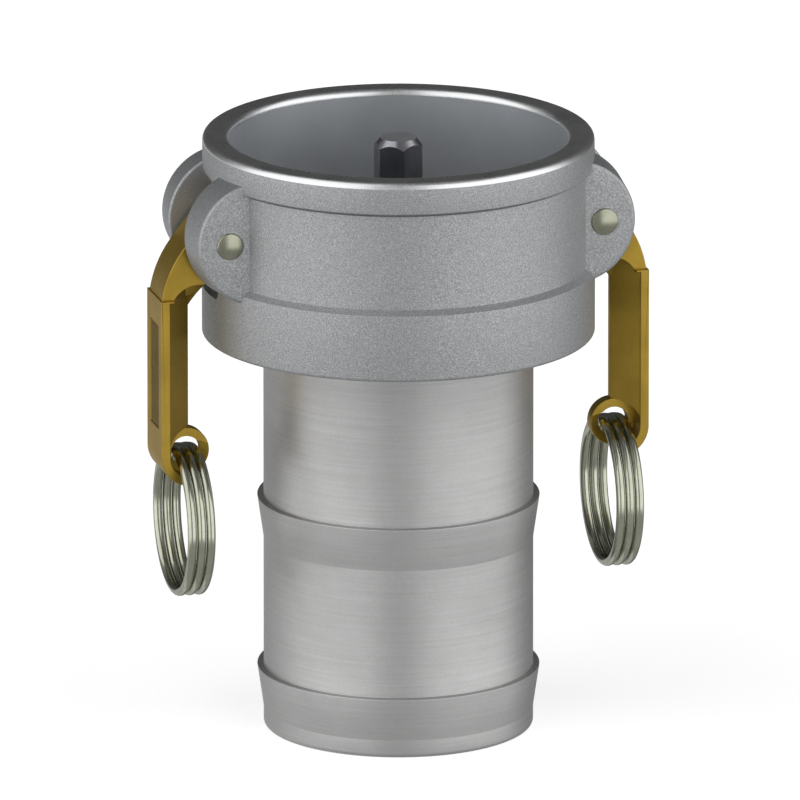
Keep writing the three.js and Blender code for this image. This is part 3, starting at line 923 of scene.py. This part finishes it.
def panel_cutter():
    levels = [(ARM_FACE - PANEL_DEPTH, 0.0), (ARM_FACE + 0.3, 0.3)]
    sections = []
    for x, grow in levels:
        half, top, foot = PANEL_HALF + grow, depth(PANEL_TOP) + grow, depth(PANEL_FOOT) - grow
        outline = rounded([(-half, foot, 0.8), (half, foot, 0.8), (half, top, 0.8), (-half, top, 0.8)], 5)
        sections.append([(x, y, z) for y, z in outline])
    return loft("panel", sections)


def knurl():
    """A pad of raised diamonds on the panel's floor."""
    cell, pitch, height, margin, slant, ceiling = 0.3, 1.7, 0.36, 0.9, 0.55, 0.72
    half, top, foot = PANEL_HALF - margin, depth(PANEL_TOP) - margin, depth(PANEL_FOOT) + margin
    across, along = round(2 * half / cell), round((top - foot) / cell)
    base = ARM_FACE - PANEL_DEPTH

    def ridge(value):
        return 1 - abs(2 * (value / pitch - math.floor(value / pitch)) - 1)

    verts = []
    for level in (0, 1):
        for j in range(along + 1):
            for i in range(across + 1):
                y, z = -half + 2 * half * i / across, foot + (top - foot) * j / along
                edge = min(half - abs(y), z - foot, top - z)
                diamond = min(ridge(y + slant * z), ridge(y - slant * z) + 0.15, ceiling)
                lift = height * min(1.0, edge / 0.5) * diamond
                verts.append((base + lift + 0.02 if level else base - 0.5, y, z))
    row = across + 1
    size = row * (along + 1)
    faces = []
    for j in range(along):
        for i in range(across):
            a = j * row + i
            faces.append([a, a + row, a + row + 1, a + 1])
            faces.append([size + a, size + a + 1, size + a + row + 1, size + a + row])
    border = list(range(across)) + [j * row + across for j in range(along)]
    border += [along * row + i for i in range(across, 0, -1)] + [j * row for j in range(along, 0, -1)]
    for k, a in enumerate(border):
        b = border[(k + 1) % len(border)]
        faces.append([a, b, size + b, size + a])
    return new_object("knurl", verts, faces)


def cam_arm():
    arm = slab("arm_visual_right", head_outline(), -HEAD_HALF, HEAD_HALF, 0.4)
    web = cut(arm_web(), eye_relief(1), eye_relief(-1))
    join(arm, slab("flange", flange_outline(), -ARM_HALF, ARM_HALF, 0.35), web)
    cut(arm, ring_pocket(1), ring_pocket(-1))
    tab = about_eye("tab", rounded([
        (0, -TAB_HALF, 0), (TAB_RADIUS, -TAB_HALF, 0.3), (TAB_RADIUS, TAB_HALF, 0.3), (0, TAB_HALF, 0),
    ]))
    cut(tab, eye_sink(1), eye_sink(-1))
    join(arm, tab)
    reach = ARM_HALF + 1
    cut(arm, about_eye("eye", [(0, -reach), (EYE_HOLE, -reach), (EYE_HOLE, reach), (0, reach)]))
    radius = PIN_SHANK + ARM_FIT
    pin_hole = [(0, -reach), (radius, -reach), (radius, reach), (0, reach)]
    cut(arm, lathe("pin_hole", pin_hole, 80, about_y(PIN.x, PIN.z)))
    cut(arm, panel_cutter())
    join(arm, knurl())
    return even_shading(tidy_shading(arm, 28))


def mark_recess(arm):
    """The panel's floor keeps the darker metal that polishing doesn't reach."""
    for face in arm.data.polygons:
        x, y, z = (c / MM for c in face.center)
        in_panel = abs(y) < PANEL_HALF and depth(PANEL_FOOT) < z < depth(PANEL_TOP)
        face.material_index = 1 if in_panel and abs(abs(x) - (ARM_FACE - PANEL_DEPTH)) < 0.45 else 0


# ------------------------------------------------------------------ pull ring


def pull_ring():
    """Three flat turns of round wire through the arm's eye, each stepping to the next just behind it."""
    turns, step, step_start, sides, end = 3, 34, 3, 20, 0.4
    radius = RING_HIGH.y - WIRE
    pitch = (RING_HIGH.x - RING_LOW.x - 2 * WIRE) / (turns - 1)
    total = turns * 360 - step

    def point(run):
        turn = min(turns - 1, max(0, math.floor(run / 360)))
        stepped = max(0.0, run - 360 * turn - (360 - step)) / step
        x = EYE.x + pitch * ((turns - 1) / 2 - turn - (1 - math.cos(math.pi * min(1.0, stepped))) / 2)
        angle = math.radians(90 - step_start - step - run)
        return Vector((x, radius * math.cos(angle), EYE.z - radius + radius * math.sin(angle)))

    tip = math.degrees(end / radius)
    stations = [(0.0, WIRE - end), (0.3 * tip, WIRE - 0.35 * end)]
    stations += [(tip + (total - 2 * tip) * i / (total // 4), WIRE) for i in range(total // 4 + 1)]
    stations += [(total - 0.3 * tip, WIRE - 0.35 * end), (float(total), WIRE - end)]
    sections = []
    for run, wire in stations:
        here = point(run)
        along = (point(run + 0.05) - point(run - 0.05)).normalized()
        out = (here - Vector((here.x, 0, EYE.z - radius))).normalized()
        side = along.cross(out).normalized()
        out = side.cross(along).normalized()
        turn = [2 * math.pi * k / sides for k in range(sides)]
        sections.append([tuple(here + (out * math.cos(t) + side * math.sin(t)) * wire) for t in turn])
    return tidy_shading(loft("ring_visual_right", sections), 40)


# ------------------------------------------------------------------ stage


AZIMUTH, ELEVATION = math.radians(-14.4), math.radians(15.5)
VIEW_SIZE = 0.2843                      # metres across the picture at the object
HALF_FIELD = math.radians(0.8)
TARGET_HEIGHT, TARGET_RIGHT = 0.1187, 0.00057
SENSOR = 36


def camera():
    data = bpy.data.cameras.new("camera")
    data.sensor_width = SENSOR
    data.lens = SENSOR / 2 / math.tan(HALF_FIELD)
    data.clip_start, data.clip_end = 0.1, 40
    obj = bpy.data.objects.new("camera", data)
    bpy.context.scene.collection.objects.link(obj)
    back = Vector((
        math.sin(AZIMUTH) * math.cos(ELEVATION), -math.cos(AZIMUTH) * math.cos(ELEVATION), math.sin(ELEVATION)
    ))
    right = Vector((math.cos(AZIMUTH), math.sin(AZIMUTH), 0))
    target = Vector((0, 0, TARGET_HEIGHT)) + right * TARGET_RIGHT
    obj.location = target + back * (VIEW_SIZE / 2 / math.tan(HALF_FIELD))
    obj.rotation_mode = "QUATERNION"
    obj.rotation_quaternion = (-back).to_track_quat("-Z", "Y")
    bpy.context.scene.camera = obj


def floor():
    half = 40
    corners = [(-half, -half, 0), (half, -half, 0), (half, half, 0), (-half, half, 0)]
    mesh = bpy.data.meshes.new("floor")
    mesh.from_pydata(corners, [], [(0, 1, 2, 3)])
    obj = bpy.data.objects.new("floor", mesh)
    bpy.context.scene.collection.objects.link(obj)
    material = bpy.data.materials.new("floor_paper")
    material.use_nodes = True
    shader = material.node_tree.nodes["Principled BSDF"]
    shader.inputs["Base Color"].default_value = (0.8, 0.8, 0.8, 1)
    shader.inputs["Roughness"].default_value = 0.9
    shader.inputs["Specular IOR Level"].default_value = 0.0
    shader.inputs["Emission Color"].default_value = (1, 1, 1, 1)
    shader.inputs["Emission Strength"].default_value = 0.62
    mesh.materials.append(material)
    for ray in ("visible_diffuse", "visible_glossy", "visible_shadow", "visible_transmission"):
        setattr(obj, ray, False)


# Soft boxes: azimuth to the right of the viewer and elevation, each from and to in degrees, and strength.
SOFT_BOXES = [
    (-100, -17, -18, 68, 1.0),
    (17, 108, -18, 52, 1.0),
    (-178, -104, -70, -6, 0.42),
    (104, 178, -70, -6, 0.12),
]
BACK, FRONT = 0.07, 0.34                # strength behind the object, and what the viewer's side adds to it
BELOW = 0.30                            # what the pale floor adds from behind
BACKDROP = 0.95                         # what the camera itself sees
BOX_EDGE, FRONT_EDGE = 10, 40           # degrees over which each fades out
FRONT_HALF = 120                        # degrees to either side that the front reaches


def world():
    """A soft studio: a tall soft box either side of the viewer, a dim back and a dimmer top."""
    studio = bpy.data.worlds.new("studio")
    bpy.context.scene.world = studio
    studio.use_nodes = True
    tree = studio.node_tree
    tree.nodes.clear()

    def add(kind, inputs, **settings):
        node = tree.nodes.new(kind)
        for key, value in settings.items():
            setattr(node, key, value)
        for key, value in inputs.items():
            if isinstance(value, bpy.types.NodeSocket):
                tree.links.new(value, node.inputs[key])
            else:
                node.inputs[key].default_value = value
        return node.outputs

    def calc(operation, a, b=0.0):
        return add("ShaderNodeMath", {0: a, 1: b}, operation=operation)[0]

    def slide(value, start, end, low, high):
        inputs = {"Value": value, "From Min": start, "From Max": end, "To Min": low, "To Max": high}
        return add("ShaderNodeMapRange", inputs, interpolation_type="SMOOTHSTEP")["Result"]

    def window(value, low, high, edge):
        rise = slide(value, low - edge / 2, low + edge / 2, 0.0, 1.0)
        return calc("MULTIPLY", rise, slide(value, high - edge / 2, high + edge / 2, 1.0, 0.0))

    x, y, z = add("ShaderNodeSeparateXYZ", {0: add("ShaderNodeTexCoord", {})["Generated"]})
    sine, cosine = math.sin(AZIMUTH), math.cos(AZIMUTH)
    ahead = calc("ADD", calc("MULTIPLY", x, sine), calc("MULTIPLY", y, -cosine))
    right = calc("ADD", calc("MULTIPLY", x, cosine), calc("MULTIPLY", y, sine))
    azimuth = calc("DEGREES", calc("ARCTAN2", right, ahead))
    elevation = calc("DEGREES", calc("ARCSINE", z))
    front = window(azimuth, -FRONT_HALF, FRONT_HALF, FRONT_EDGE)
    total = calc("MULTIPLY", front, slide(elevation, 15, 75, FRONT, 0.4 * FRONT))
    low = calc("MULTIPLY", slide(elevation, -75, -35, BELOW, 0.0), calc("SUBTRACT", 1.0, front))
    total = calc("ADD", calc("ADD", total, BACK), low)
    for from_azimuth, to_azimuth, low, high, strength in SOFT_BOXES:
        face = calc("MULTIPLY", window(azimuth, from_azimuth, to_azimuth, BOX_EDGE),
                    window(elevation, low, high, BOX_EDGE))
        total = calc("ADD", total, calc("MULTIPLY", face, strength))
    light = add("ShaderNodeBackground", {"Color": (1, 1, 1, 1), "Strength": total})[0]
    plain = add("ShaderNodeBackground", {"Color": (1, 1, 1, 1), "Strength": BACKDROP})[0]
    seen = add("ShaderNodeLightPath", {})["Is Camera Ray"]
    mix = add("ShaderNodeMixShader", {0: seen, 1: light, 2: plain})[0]
    add("ShaderNodeOutputWorld", {"Surface": mix})


# ------------------------------------------------------------------ the whole

camera()
world()
floor()
bpy.context.scene.view_settings.view_transform = "Standard"

coupler_head()
hose_shank()
spider()
gasket()
probe_post()
probe_bolt()
probe_washers()

right_pin = hinge_pin()
right_arm = cam_arm()
right_ring = pull_ring()
half_turn = Matrix.Rotation(math.pi, 4, "Z")
across = Matrix.Translation((-2 * EYE.x * MM, 0, 0))
left_pin = copied(right_pin, "pin_visual_left", half_turn)
left_arm = copied(right_arm, "arm_visual_left", half_turn)
left_ring = copied(right_ring, "ring_visual_left", across)
sides = {"right": (right_pin, right_arm, right_ring), "left": (left_pin, left_arm, left_ring)}
for side, (pin, arm, ring) in sides.items():
    dress(pin, "coupler", "pin_steel", [f"arm_pin_{side}"], "pin")
    dress(arm, f"{side}_arm", "arm_brass", [f"cam_arm_{side}"], "brass", "brass_recess")
    mark_recess(arm)
    dress(ring, f"{side}_ring", "ring_steel", [f"pull_ring_{side}"], "ring")
